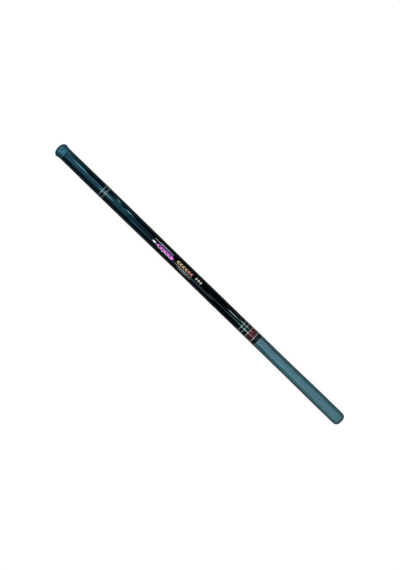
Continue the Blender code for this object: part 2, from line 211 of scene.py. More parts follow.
class PoleColours(bpy.types.PropertyGroup):
    """Colours of the finishes, linear."""

    # The blank's three colours paint a sheen along it: lighter teal in front of the grip, black in the
    # middle and lighter blue towards the mouth
    blank_blue: colour_setting("Blank blue", "Lacquer near the mouth", (0.0037, 0.0230, 0.0353))
    blank_black: colour_setting("Blank black", "Lacquer in the middle", (0.0023, 0.0060, 0.0090))
    blank_teal: colour_setting("Blank teal", "Lacquer in front of the grip", (0.0090, 0.0230, 0.0237))
    coating: colour_setting("Soft coating", "Coating of the grip", (0.0458, 0.102, 0.120))
    moulded: colour_setting("Moulded", "Plastic of the plug", (0.0217, 0.0717, 0.0925))
    winding: colour_setting("Ring winding", "Thread of the trim rings", (0.225, 0.280, 0.263))
    winding_warm: colour_setting("Band winding", "Thread beside the red band", (0.317, 0.297, 0.275))
    winding_pale: colour_setting("Mouth winding", "Thread near the mouth", (0.233, 0.258, 0.233))
    winding_teal: colour_setting("Grip winding", "Thread in front of the grip", (0.137, 0.187, 0.180))
    foil: colour_setting("Red foil", "Band in front of the grip", (0.0383, 0.0070, 0.0100))
    pink: colour_setting("Pink print", "Printed lozenges", (0.458, 0.110, 0.417))
    violet: colour_setting("Violet print", "Fills above the lozenges", (0.158, 0.0667, 0.308))
    pale: colour_setting("Pale print", "Small diamonds and short lines", (0.342, 0.367, 0.258))
    silver: colour_setting("Silver print", "Front lozenge, fills and long line", (0.700, 0.750, 0.867))
    gold: colour_setting("Gold print", "Chevrons towards the mouth", (0.617, 0.500, 0.267))
    red: colour_setting("Red print", "Chevrons towards the grip", (0.517, 0.167, 0.142))
    section: colour_setting("Section lacquer", "Lacquer of the sections", (0.0070, 0.0083, 0.0103))
    hoop: colour_setting("Hoop winding", "Winding at each section's mouth", (0.0100, 0.0333, 0.0442))
    tip: colour_setting("Tip lacquer", "Solid glass fibre tip", (0.210, 0.195, 0.150))
    braid: colour_setting("Braid", "Line braid at the tip", (0.300, 0.026, 0.016))


class PoleStudio(bpy.types.PropertyGroup):
    """Camera, floor and surroundings."""

    distance: bpy.props.FloatProperty(
        name="Distance", description="Camera above the pole", default=1.5, unit="LENGTH"
    )
    lens: bpy.props.FloatProperty(
        name="Lens", description="Focal length of the camera", default=51.70, unit="CAMERA"
    )
    roll: bpy.props.FloatProperty(
        name="Roll", description="Turn of the picture about the view", default=-2.3720, subtype="ANGLE"
    )
    floor: colour_setting("Floor", "Pale floor", (0.90, 0.90, 0.895))
    floor_glow: bpy.props.FloatProperty(
        name="Floor glow",
        description="Share of plain white in the floor as it is seen",
        default=0.84,
        subtype="FACTOR",
        min=0.0,
        max=1.0,
    )
    sky: bpy.props.FloatProperty(
        name="Sky", description="Strength of the surroundings overhead", default=0.15, min=0.0
    )
    horizon: bpy.props.FloatProperty(
        name="Horizon", description="Strength of the surroundings at the horizon", default=0.85, min=0.0
    )


def settings_of(context):
    """The pole's sizes and colours."""
    return context.scene.pole_shape, context.scene.pole_colours


# Meshes


def place_piece(name, bm, body, material, replaced=(), crease=35.0):
    """The mesh as a finished piece that rides on a body and stands for its CAD nodes."""
    bmesh.ops.remove_doubles(bm, verts=bm.verts, dist=MERGE_DISTANCE)
    bmesh.ops.recalc_face_normals(bm, faces=bm.faces)
    mesh = bpy.data.meshes.new(name)
    bm.to_mesh(mesh)
    bm.free()
    mesh.shade_smooth()
    mesh.set_sharp_from_angle(angle=math.radians(crease))
    mesh.materials.append(material)
    piece = bpy.data.objects.new(name, mesh)
    bpy.context.scene.collection.objects.link(piece)
    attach(piece, body)
    if replaced:
        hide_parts(*replaced)
    return piece


def turned_mesh(outline, facets, relief=None):
    """A closed mesh turned about X. relief(x, radius, angle) gives the radius to use instead."""
    bm = bmesh.new()
    rows = []
    for x, radius in outline:
        row = []
        for step in range(facets):
            angle = math.tau * step / facets
            r = relief(x, radius, angle) if relief and radius > 0.0 else radius
            row.append(bm.verts.new((x, -r * math.sin(angle), r * math.cos(angle))))
        rows.append(row)
    if outline[0][1] > 0.0:
        rows.append(rows[0])
    for near, far in zip(rows, rows[1:]):
        for i in range(facets):
            j = (i + 1) % facets
            bm.faces.new((near[i], near[j], far[j], far[i]))
    bmesh.ops.remove_doubles(bm, verts=bm.verts, dist=MERGE_DISTANCE)
    bmesh.ops.dissolve_degenerate(bm, edges=bm.edges, dist=SHORTEST_EDGE)
    return bm


def arc(x, radius, width, height, start, end, steps):
    """Points of an elliptic arc about (x, radius), between two angles in degrees."""
    points = []
    for step in range(steps + 1):
        a = math.radians(start + (end - start) * step / steps)
        points.append((x + width * math.cos(a), radius + height * math.sin(a)))
    return points


def rounded(x, radius, size, start, end, steps=4):
    """Points of a rounded edge about (x, radius), between two angles in degrees."""
    return arc(x, radius, size, size, start, end, steps)


def spaced(first, last, steps):
    """Values from first to last in equal steps."""
    return [first + (last - first) * i / steps for i in range(steps + 1)]


def tapered(first, last, steps):
    """(x, radius) points in equal steps from one point to another, without those two."""
    return list(zip(spaced(first[0], last[0], steps), spaced(first[1], last[1], steps)))[1:-1]


# Rings of cord and thread: points round a cord, points over a thread, the share of a thread's
# height that its valleys keep, how far a winding sinks into what carries it, and its creases
CORD_POINTS = 24
THREAD_POINTS = 8
THREAD_VALLEY = 0.55
WINDING_SINK = 0.00002
WINDING_CREASE = 50.0
CORD_CREASE = 60.0


def rubber_cord_ring(name, node, body, material):
    """A smooth rubber ring in the place of a CAD one."""
    (x0, x1), rows = ends_of(node), corner_radii(node)
    inside = min(low for _, low, _ in rows)
    outside = max(high for _, _, high in rows)
    half, middle = (x1 - x0) / 2.0, (inside + outside) / 2.0
    last_angle = 360.0 * (CORD_POINTS - 1) / CORD_POINTS
    thickness = (outside - inside) / 2.0
    outline = arc((x0 + x1) / 2.0, middle, half, thickness, 0.0, last_angle, CORD_POINTS - 1)
    bm = turned_mesh(outline, bpy.context.scene.pole_shape.facets)
    return place_piece(name, bm, body, material, (node,), CORD_CREASE)


def wound_ring(x0, x1, base, height, threads, facets):
    """Mesh of a ring of thread wound on a surface: base gives its radius at x."""
    pitch = (x1 - x0) / threads
    outline = []
    for turn in range(threads):
        middle = x0 + pitch * (turn + 0.5)
        for step in range(THREAD_POINTS + 1):
            a = math.pi * (1.0 - step / THREAD_POINTS)
            x = middle + 0.5 * pitch * math.cos(a)
            swell = THREAD_VALLEY + (1.0 - THREAD_VALLEY) * math.sin(a)
            outline.append((x, base(x) + height * swell))
    outline += [(x1, base(x1) - WINDING_SINK), (x0, base(x0) - WINDING_SINK)]
    return turned_mesh(outline, facets)


# Print: how far its underside sinks into the lacquer, and the half width that its points keep
PRINT_SINK = 0.00006
PRINT_POINT = 0.00001


def printed_mark(name, x0, x1, centre, half, material, steps=24, across=8):
    """A thin printed shape on the handle.

    centre(u) and half(u) are lengths round the handle, with u from 0 to 1 along the mark.
    """
    height = bpy.context.scene.pole_shape.print_height
    bm = bmesh.new()
    layers = []
    for lift in (height, -PRINT_SINK):
        grid = []
        for i in range(steps + 1):
            u = i / steps
            x = x0 + (x1 - x0) * u
            surface = blank_radius(x)
            row = []
            for j in range(across + 1):
                side = 2.0 * j / across - 1.0
                angle = (centre(u) + side * max(half(u), PRINT_POINT)) / surface
                r = surface + lift
                row.append(bm.verts.new((x, r * math.sin(angle), r * math.cos(angle))))
            grid.append(row)
        layers.append(grid)
    top, under = layers
    for i in range(steps):
        for j in range(across):
            for grid in layers:
                bm.faces.new((grid[i][j], grid[i + 1][j], grid[i + 1][j + 1], grid[i][j + 1]))
        for j in (0, across):
            bm.faces.new((top[i][j], top[i + 1][j], under[i + 1][j], under[i][j]))
    for i in (0, steps):
        for j in range(across):
            bm.faces.new((top[i][j], top[i][j + 1], under[i][j + 1], under[i][j]))
    return place_piece(name, bm, "handle", material)


def lozenge(name, x, size, material):
    """A printed lozenge at x. Its size is its length, its middle round the handle and its half width."""
    length, middle, half = size

    def half_width(u):
        return half * (1.0 - abs(2.0 * u - 1.0))

    return printed_mark(name, x - length / 2, x + length / 2, lambda u: middle, half_width, material)


# Materials


# A metal whose edges darken as its lacquer does, and the part of a noise that a range is spread over
DARK_EDGES = (0.0, 0.0, 0.0, 1.0)
NOISE_LOW = 0.3
NOISE_HIGH = 0.7


def alike(value):
    """One value three times, for a grey or for a grain that is as fine along each axis."""
    return (value, value, value)


def scaled(colour, factor):
    """A lighter or darker shade of a colour."""
    return tuple(min(1.0, c * factor) for c in colour[:3])


class Finish:
    """A Principled material with its texture nodes, added one by one."""

    def __init__(self, name, **values):
        self.material = bpy.data.materials.get(name) or bpy.data.materials.new(name)
        self.material.use_nodes = True
        self.nodes = self.material.node_tree.nodes
        self.links = self.material.node_tree.links
        self.shader = self.nodes["Principled BSDF"]
        self.clear()
        self.place = self.nodes.new("ShaderNodeTexCoord").outputs["Object"]
        self.bump_chain = None
        for socket, value in values.items():
            self.shader.inputs[socket.replace("_", " ")].default_value = value

    def clear(self):
        """Takes out the nodes of an earlier run."""
        kept = ("BSDF_PRINCIPLED", "OUTPUT_MATERIAL")
        for node in [node for node in self.nodes if node.type not in kept]:
            self.nodes.remove(node)

    def put(self, value, socket):
        """Gives a socket a value or the output of another node."""
        if isinstance(value, bpy.types.NodeSocket):
            self.links.new(value, socket)
        else:
            socket.default_value = value

    def stretched(self, scale):
        """The pole's own coordinates multiplied along X, Y and Z."""
        node = self.nodes.new("ShaderNodeMapping")
        node.inputs["Scale"].default_value = scale
        self.links.new(self.place, node.inputs["Vector"])
        return node.outputs["Vector"]

    def noise(self, scale, detail=3.0, roughness=0.5):
        """Noise whose grain runs with the given scale along each axis."""
        node = self.nodes.new("ShaderNodeTexNoise")
        node.inputs["Scale"].default_value = 1.0
        node.inputs["Detail"].default_value = detail
        node.inputs["Roughness"].default_value = roughness
        self.links.new(self.stretched(scale), node.inputs["Vector"])
        return node.outputs["Fac"]

    def wave(self, scale, distortion=0.0):
        """Sine bands whose coordinates are scaled along each axis and summed."""
        node = self.nodes.new("ShaderNodeTexWave")
        node.bands_direction = "DIAGONAL"
        node.inputs["Scale"].default_value = 1.0
        node.inputs["Distortion"].default_value = distortion
        self.links.new(self.stretched(scale), node.inputs["Vector"])
        return node.outputs["Fac"]

    def ramp(self, value, stops):
        """Colours that follow a value, from (position, colour) stops."""
        node = self.nodes.new("ShaderNodeValToRGB")
        band = node.color_ramp
        while len(band.elements) < len(stops):
            band.elements.new(0.5)
        for element, (position, colour) in zip(band.elements, stops):
            element.position = position
            element.color = (*colour, 1.0)
        self.links.new(value, node.inputs["Fac"])
        return node.outputs["Color"]

    def span(self, value, low, high, out_low, out_high):
        """A value between low and high, spread from out_low to out_high."""
        node = self.nodes.new("ShaderNodeMapRange")
        numbers = {"From Min": low, "From Max": high, "To Min": out_low, "To Max": out_high}
        for socket, number in numbers.items():
            node.inputs[socket].default_value = number
        self.links.new(value, node.inputs["Value"])
        return node.outputs["Result"]

    def spread(self, noise, low, high):
        """The middle of a noise, spread from low to high."""
        return self.span(noise, NOISE_LOW, NOISE_HIGH, low, high)

    def compute(self, operation, a, b):
        """The result of a sum, product or the like."""
        node = self.nodes.new("ShaderNodeMath")
        node.operation = operation
        self.put(a, node.inputs[0])
        self.put(b, node.inputs[1])
        return node.outputs["Value"]

    def blend(self, factor, a, b, mode="MIX"):
        """Two colours mixed by a factor."""
        node = self.nodes.new("ShaderNodeMix")
        node.data_type = "RGBA"
        node.blend_type = mode
        sockets = {s.identifier: s for s in node.inputs}
        self.put(factor, sockets["Factor_Float"])
        for value, name in ((a, "A_Color"), (b, "B_Color")):
            value = (*value, 1.0) if isinstance(value, tuple) else value
            self.put(value, sockets[name])
        return next(s for s in node.outputs if s.identifier == "Result_Color")

    def shades(self, factor, colour, dark, light):
        """A colour that goes from a darker to a lighter shade of itself."""
        return self.blend(factor, scaled(colour, dark), scaled(colour, light))

    def along(self):
        """The place along the pole, in metres."""
        node = self.nodes.new("ShaderNodeSeparateXYZ")
        self.links.new(self.place, node.inputs["Vector"])
        return node.outputs["X"]

    def bump(self, height, distance, strength):
        """Adds a relief of a depth in metres on top of the ones before."""
        node = self.nodes.new("ShaderNodeBump")
        node.inputs["Strength"].default_value = strength
        node.inputs["Distance"].default_value = distance
        self.links.new(height, node.inputs["Height"])
        if self.bump_chain:
            self.links.new(self.bump_chain, node.inputs["Normal"])
        self.bump_chain = node.outputs["Normal"]

    def done(self, colour, roughness=None):
        """Joins colour, roughness and relief to the shader and gives the material."""
        self.links.new(colour, self.shader.inputs["Base Color"])
        if roughness:
            self.links.new(roughness, self.shader.inputs["Roughness"])
        if self.bump_chain:
            self.links.new(self.bump_chain, self.shader.inputs["Normal"])
        return self.material


def blank_lacquer(colours):
    """Blue-black lacquer with the fibres of the blank showing through as fine lengthwise streaks. Its
    colour along the pole is a painted sheen: teal in front of the grip, black in the middle and blue
    towards the mouth.
    """
    f = Finish(
        "blank_lacquer",
        Metallic=1.0,
        Specular_Tint=DARK_EDGES,
        Coat_Weight=0.20,
        Coat_Roughness=0.03,
        Coat_IOR=1.35,
    )
    blue, black, teal = (tuple(c) for c in (colours.blank_blue, colours.blank_black, colours.blank_teal))
    # Painted sheen along the pole: teal in front of the grip, black in the middle, blue towards the mouth
    stops = [
        (0.212, teal),
        (0.24, scaled(teal, 0.7)),
        (0.30, black),
        (0.47, black),
        (0.53, scaled(blue, 0.75)),
        (0.70, blue),
    ]
    fade = f.ramp(f.along(), stops)
    streaks = f.noise((9.0, 700.0, 700.0), detail=4.0, roughness=0.6)
    fibres = f.noise((30.0, 2600.0, 2600.0), detail=2.0)
    tone = f.blend(f.span(streaks, 0.35, 0.70, 0.0, 1.0), alike(0.45), alike(1.7))
    colour = f.blend(1.0, fade, tone, "MULTIPLY")
    colour = f.blend(1.0, colour, f.blend(fibres, alike(0.85), alike(1.15)), "MULTIPLY")
    f.bump(f.noise((20.0, 900.0, 900.0), detail=2.0), distance=0.00002, strength=0.25)
    f.bump(f.noise(alike(220.0), detail=1.0), distance=0.00002, strength=0.15)
    return f.done(colour, f.spread(f.noise((60.0, 900.0, 900.0)), 0.05, 0.085))


def soft_touch(name, colour, grain):
    """Satin teal paint with a fine grain and faint rubbed patches."""
    f = Finish(name, Metallic=1.0, Specular_Tint=DARK_EDGES)
    patches = f.noise((30.0, 120.0, 120.0), detail=4.0, roughness=0.6)
    speckle = f.noise(alike(2500.0), detail=1.0)
    tone = f.shades(f.spread(patches, 0.0, 1.0), colour, 0.88, 1.12)
    tone = f.blend(f.compute("MULTIPLY", speckle, 0.18), tone, scaled(colour, 1.6))
    f.bump(f.noise(alike(grain), detail=2.0), distance=0.00003, strength=0.35)
    return f.done(tone, f.spread(patches, 0.28, 0.36))


def metallic_thread(name, colour):
    """Fine metallic thread under lacquer."""
    f = Finish(name, Metallic=1.0, Specular_Tint=DARK_EDGES, Coat_Weight=0.25, Coat_Roughness=0.08)
    tone = f.shades(f.noise(alike(900.0), detail=2.0), colour, 0.8, 1.2)
    f.bump(f.wave((9000.0, 3500.0, 3500.0)), distance=0.00001, strength=0.4)
    return f.done(tone, f.spread(f.noise(alike(400.0)), 0.20, 0.32))


def band_foil(colours):
    """Dark red foil under lacquer, brushed round the pole and slightly creased."""
    f = Finish(
        "band_foil",
        Metallic=1.0,
        Specular_Tint=DARK_EDGES,
        Coat_Weight=0.58,
        Coat_Roughness=0.10,
        Coat_IOR=1.4,
    )
    brushed = f.noise((4000.0, 60.0, 60.0), detail=2.0)
    tone = f.shades(brushed, colours.foil, 0.75, 1.3)
    f.bump(f.noise((150.0, 260.0, 260.0)), distance=0.00004, strength=0.25)
    return f.done(tone, f.spread(brushed, 0.28, 0.40))


def print_ink(name, start, end=None, fade=(0.0, 1.0)):
    """Foil ink with a dotted wear. It may go from one colour to another between two places."""
    f = Finish(name, Metallic=0.35, Coat_Weight=0.33, Coat_Roughness=0.1)
    wear = f.noise(alike(700.0))
    tone = f.shades(wear, start, 0.85, 1.15)
    if end is not None:
        other = f.shades(wear, end, 0.85, 1.15)
        tone = f.blend(f.span(f.along(), *fade, 0.0, 1.0), tone, other)
    f.bump(f.noise(alike(1800.0), detail=1.0), distance=0.00001, strength=0.3)
    return f.done(tone, f.spread(f.noise(alike(500.0)), 0.30, 0.42))


# The sanded base of each section ends between these two places
SANDED_END = (0.092, 0.099)


def section_lacquer(colours):
    """Black lacquer with faint wrapped tape; the base that wedges in the next mouth is sanded."""
    f = Finish(
        "section_lacquer_black", Metallic=1.0, Coat_Weight=0.20, Coat_Roughness=0.05, Coat_IOR=1.35
    )
    tape = f.wave((700.0, 160.0, 160.0), distortion=1.5)
    streaks = f.noise((12.0, 1200.0, 1200.0))
    tone = f.shades(streaks, colours.section, 0.7, 1.5)
    tone = f.blend(f.compute("MULTIPLY", tape, 0.25), tone, scaled(colours.section, 2.0))
    sanded = f.span(f.along(), *SANDED_END, 1.0, 0.0)
    tone = f.blend(sanded, tone, scaled(colours.section, 3.0))
    f.bump(tape, distance=0.00002, strength=0.15)
    f.bump(f.noise(alike(1500.0), detail=1.0), distance=0.00001, strength=0.2)
    rough = f.compute("ADD", f.spread(streaks, 0.12, 0.20), f.compute("MULTIPLY", sanded, 0.35))
    return f.done(tone, rough)


def hoop_lacquer(colours):
    """Fine winding under dark teal lacquer, with painted shade in the grooves between its turns and a
    painted highlight on their tops.
    """
    f = Finish("hoop_lacquer", Metallic=1.0, Coat_Weight=0.25, Coat_Roughness=0.04, Coat_IOR=1.35)
    turns = f.wave((12000.0, 300.0, 300.0), distortion=0.4)
    # Painted shade and highlight: darker in the grooves between turns, lighter on their tops
    tone = f.shades(turns, colours.hoop, 0.8, 1.25)
    f.bump(turns, distance=0.00002, strength=0.35)
    return f.done(tone, f.spread(f.noise(alike(300.0)), 0.22, 0.32))


def turned_aluminium():
    """Bare aluminium with fine turning marks."""
    f = Finish("turned_aluminium", Metallic=1.0)
    rings = f.noise((6000.0, 40.0, 40.0), detail=2.0)
    tone = f.blend(rings, (0.50, 0.50, 0.52), (0.66, 0.66, 0.67))
    f.bump(rings, distance=0.00001, strength=0.5)
    return f.done(tone, f.spread(rings, 0.26, 0.42))


def black_rubber():
    """Matt black rubber with a fine grain and some dust."""
    f = Finish("black_rubber_grain", Sheen_Weight=0.1, Sheen_Roughness=0.4)
    dust = f.noise(alike(90.0), detail=4.0, roughness=0.65)
    tone = f.blend(f.span(dust, 0.45, 0.75, 0.0, 1.0), alike(0.014), (0.034, 0.033, 0.031))
    f.bump(f.noise(alike(3500.0), detail=2.0), distance=0.00003, strength=0.3)
    return f.done(tone, f.spread(dust, 0.62, 0.80))


def tip_glass_fibre(colours):
    """Pale solid glass fibre with lengthwise strands under lacquer."""
    f = Finish(
        "tip_glass_fibre",
        Coat_Weight=0.2,
        Coat_Roughness=0.05,
        Subsurface_Weight=0.15,
        Subsurface_Radius=(0.001, 0.0009, 0.0007),
    )
    strands = f.noise((15.0, 9000.0, 9000.0))
    tone = f.shades(strands, colours.tip, 0.82, 1.1)
    f.bump(strands, distance=0.00001, strength=0.2)
    return f.done(tone, f.spread(strands, 0.24, 0.34))


def cord_weave(name, colour, scale):
    """Strands that cross each other slantwise, as in a braid or a laid thread, with painted shade between
    the strands and a painted highlight on their tops.
    """
    f = Finish(name, Sheen_Weight=0.3, Sheen_Roughness=0.5)
    slant = scale * 0.8
    left = f.wave((scale, slant, slant), distortion=0.5)
    right = f.wave((scale, -slant, -slant), distortion=0.5)
    strands = f.compute("MAXIMUM", left, right)
    # Painted shade and highlight: darker in the recesses between strands, lighter on their tops
    tone = f.shades(strands, colour, 0.55, 1.2)
    f.bump(strands, distance=0.00005, strength=0.6)
    return f.done(tone, f.span(strands, 0.0, 1.0, 0.85, 0.68))


def pale_floor(colour, glow):
    """Plain pale floor. What is seen of it is partly plain white, so its shadows stay light."""
    f = Finish("pale_floor", Roughness=0.9, Specular_IOR_Level=0.0)
    material = f.done(f.shades(f.noise(alike(40.0)), colour, 0.995, 1.0))
    path = f.nodes.new("ShaderNodeLightPath").outputs
    seen = f.compute("MAXIMUM", path["Is Camera Ray"], path["Is Glossy Ray"])
    seen = f.compute("MAXIMUM", seen, path["Is Transmission Ray"])
    white = f.nodes.new("ShaderNodeEmission")
    mix = f.nodes.new("ShaderNodeMixShader")
    f.put(f.compute("MULTIPLY", seen, glow), mix.inputs[0])
    f.links.new(f.shader.outputs[0], mix.inputs[1])
    f.links.new(white.outputs[0], mix.inputs[2])
    f.links.new(mix.outputs[0], f.nodes["Material Output"].inputs["Surface"])
    return material


# Handle


# Rounding of the mouth and of the coating's ends, and the gap in front of the coating
MOUTH_EDGE = 0.00018
COATING_EDGE = 0.00012
COATING_GAP = 0.00003


class POLE_OT_blank(bpy.types.Operator):
    """Builds the lacquered handle blank with its swell, bore and mouth."""

    bl_idname = "pole.blank"
    bl_label = "Handle blank"
    bl_options = {"REGISTER", "UNDO"}

    def execute(self, context):
        shape, colours = settings_of(context)
        rows = corner_radii("handle_tube")
        outline = [(x, high) for x, _, high in rows if x <= GRIP_FRONT]
        outline.append((GRIP_FRONT + COATING_GAP, outline[-1][1]))
        outline += BLANK_LINE[:-1]
        edge = MOUTH_EDGE
        outline += rounded(MOUTH - edge, blank_radius(MOUTH) - edge, edge, 90.0, 0.0, steps=6)
        outline += rounded(MOUTH - edge, rows[-1][1] + edge, edge, 0.0, -90.0, steps=6)
        step_x, bore_end, seat_radius = steps_between(rows, BUTT, GRIP_FRONT)[0]
        outline += [(step_x, bore_end), (step_x, seat_radius), (BUTT, seat_radius)]
        bm = turned_mesh(outline, shape.facets)
        lacquer = blank_lacquer(colours)
        place_piece("handle_blank", bm, "handle", lacquer, ("handle_tube",))
        return {"FINISHED"}


class POLE_OT_grip(bpy.types.Operator):
    """Builds the satin soft coating over the rear of the handle."""

    bl_idname = "pole.grip"
    bl_label = "Grip coating"
    bl_options = {"REGISTER", "UNDO"}

    def execute(self, context):
        shape, colours = settings_of(context)
        inside = [(x, low) for x, low, _ in corner_radii("grip_sleeve")]
        (start, rear), (end, front) = GRIP_LINE[0], GRIP_LINE[-1]
        edge = COATING_EDGE
        outline = rounded(start + edge, rear - edge, edge, 180.0, 90.0)
        outline += [p for p in GRIP_LINE if start + 2 * edge < p[0] < end - 2 * edge]
        outline += rounded(end - edge, front - edge, edge, 90.0, 0.0)
        outline += inside[::-1]
        coating = soft_touch("grip_soft_touch", colours.coating, grain=2200.0)
        bm = turned_mesh(outline, shape.facets)
        place_piece("grip_coating", bm, "handle", coating, ("grip_sleeve",))
        return {"FINISHED"}


# Height of the trim rings, and the height, rounding and lengthwise steps of the red band
RING_HEIGHT = 0.00015
BAND_HEIGHT = 0.00009
BAND_EDGE = 0.00005
BAND_STEPS = 8


class POLE_OT_trim(bpy.types.Operator):
    """Winds the pale trim rings and lays the dark red band."""

    bl_idname = "pole.trim"
    bl_label = "Rings and band"
    bl_options = {"REGISTER", "UNDO"}

    def execute(self, context):
        shape, colours = settings_of(context)
        silver = metallic_thread("silver_thread", colours.winding)
        threads = {
            "band": metallic_thread("warm_thread", colours.winding_warm),
            "grip": metallic_thread("teal_thread", colours.winding_teal),
            "mouth": metallic_thread("pale_thread", colours.winding_pale),
        }
        for node in TRIM_RINGS:
            x0, x1 = ends_of(node)
            bm = wound_ring(x0, x1, blank_radius, RING_HEIGHT, shape.ring_threads, shape.facets)
            thread = threads.get(node.split("_")[0], silver)
            name = f"{node}_winding"
            place_piece(name, bm, "handle", thread, (node,), WINDING_CREASE)
        x0, x1 = ends_of("red_band")
        edge = BAND_EDGE
        outline = rounded(x0 + edge, blank_radius(x0) + BAND_HEIGHT - edge, edge, 180.0, 90.0)
        outline += [(x, blank_radius(x) + BAND_HEIGHT) for x in spaced(x0, x1, BAND_STEPS)[1:-1]]
        outline += rounded(x1 - edge, blank_radius(x1) + BAND_HEIGHT - edge, edge, 90.0, 0.0)
        outline += [(x1, blank_radius(x1) - edge), (x0, blank_radius(x0) - edge)]
        bm = turned_mesh(outline, shape.facets)
        place_piece("red_band_foil", bm, "handle", band_foil(colours), ("red_band",))
        return {"FINISHED"}


# Lozenges: their middles along the pole, and each kind's length, middle round the handle and
# half width. Each pink one is smaller than the one before by the same share.
LOZENGE_X = (0.4300, 0.4385, 0.4470, 0.4555, 0.4640)
LOZENGE_SIZE = (0.0100, 0.0012, 0.0034)
LOZENGE_SHRINK = 0.06
FILL_X = (0.43425, 0.44275, 0.45125, 0.45975)
FILL_UPPER_SIZE = (0.0062, -0.0018, 0.0015)
FILL_LOWER_SIZE = (0.0052, 0.0040, 0.0004)
FRONT_LOZENGE_X = 0.4735
FRONT_LOZENGE_SIZE = (0.0100, 0.0012, 0.0015)
SMALL_X = (0.3600, 0.3655, 0.3710)
SMALL_SIZE = (0.0048, -0.0031, 0.0032)

# Fine lines: start and end along the pole, middle round the handle and half width
PRINT_LINES = {
    "print_line_upper": (0.428, 0.478, -0.0050, 0.00024),
    "print_line_middle": (0.378, 0.420, 0.0035, 0.00027),
    "print_line_lower": (0.378, 0.412, 0.0064, 0.00032),
}
LINE_END_SHARE = 0.01

# Chevrons: count, first place, pitch and length along the pole, middle round the handle, how far
# the arms spread at first and by how much less at last, the half width of an arm, and the places
# between which the red turns to gold
CHEVRON_COUNT = 6
CHEVRON_START = 0.3800
CHEVRON_PITCH = 0.0066
CHEVRON_LENGTH = 0.0050
CHEVRON_MIDDLE = -0.0020
CHEVRON_SPREAD = 0.0023
CHEVRON_CLOSING = 0.0019
CHEVRON_HALF = 0.00075
CHEVRON_FADE = (0.382, 0.412)


def fine_line(name, material):
    """One of the fine printed lines, which thins out towards both ends."""
    x0, x1, middle, half = PRINT_LINES[name]

    def half_width(u):
        return half * math.sqrt(math.sin(math.pi * u) + LINE_END_SHARE)

    printed_mark(
        name, x0, x1, lambda u: middle, half_width, material, steps=40, across=4
    )


def chevron_arm(name, x, side, material):
    """One arm of a printed chevron. Its side is -1.0 for the upper arm and 1.0 for the lower one."""

    def centre(u):
        return CHEVRON_MIDDLE + side * (CHEVRON_SPREAD - CHEVRON_CLOSING * u)

    end = x + CHEVRON_LENGTH
    printed_mark(
        name, x, end, centre, lambda u: CHEVRON_HALF, material, steps=12, across=6
    )


class POLE_OT_print(bpy.types.Operator):
    """Lays the printed lozenges, chevrons and fine lines on the handle."""

    bl_idname = "pole.print"
    bl_label = "Printed decoration"
    bl_options = {"REGISTER", "UNDO"}

    def execute(self, context):
        colours = context.scene.pole_colours
        pink = print_ink("ink_pink", colours.pink)
        silver = print_ink("ink_silver", colours.silver)
        warm = print_ink("ink_gold_red", colours.red, colours.gold, CHEVRON_FADE)
        violet = print_ink("ink_violet", colours.violet)
        pale = print_ink("ink_pale", colours.pale)

        length, middle, half = LOZENGE_SIZE
        for i, x in enumerate(LOZENGE_X):
            share = 1.0 - LOZENGE_SHRINK * i
            size = (length * share, middle, half * share)
            lozenge(f"print_lozenge_{i + 1}", x, size, pink)
        for i, x in enumerate(FILL_X):
            lozenge(f"print_fill_upper_{i + 1}", x, FILL_UPPER_SIZE, violet)
            lozenge(f"print_fill_lower_{i + 1}", x, FILL_LOWER_SIZE, silver)
        lozenge("print_lozenge_front", FRONT_LOZENGE_X, FRONT_LOZENGE_SIZE, silver)
        fine_line("print_line_upper", silver)
        fine_line("print_line_middle", pale)
        fine_line("print_line_lower", pale)
        for i in range(CHEVRON_COUNT):
            x = CHEVRON_START + CHEVRON_PITCH * i
            chevron_arm(f"print_chevron_{i + 1}_upper", x, -1.0, warm)
            chevron_arm(f"print_chevron_{i + 1}_lower", x, 1.0, warm)
        for i, x in enumerate(SMALL_X):
            lozenge(f"print_small_{i + 1}", x, SMALL_SIZE, pale)
        return {"FINISHED"}


# Front plug


# Head: the least height of its steps, the spacing of its flare's points, the height of its bead
# and the rounding of its groove. Stem: the cavity is narrower and the ring grooves are deeper
# than these two, then the rounding of the stem's end and the slope at the cavity's end. Radii
# this close count as one, and edges sharper than the crease angle stay sharp.
PLUG_STEP_HEIGHT = 0.0003
FLARE_SPACING = 0.0005
BEAD_HEIGHT = 0.0006
GROOVE_EDGE = 0.00012
CAVITY_LIMIT = 0.0090
RING_GROOVE_DEPTH = 0.0004
STEM_EDGE = 0.0005
CAVITY_SLOPE = 0.001
SAME_RADIUS = 1e-5
PLUG_CREASE = 50.0


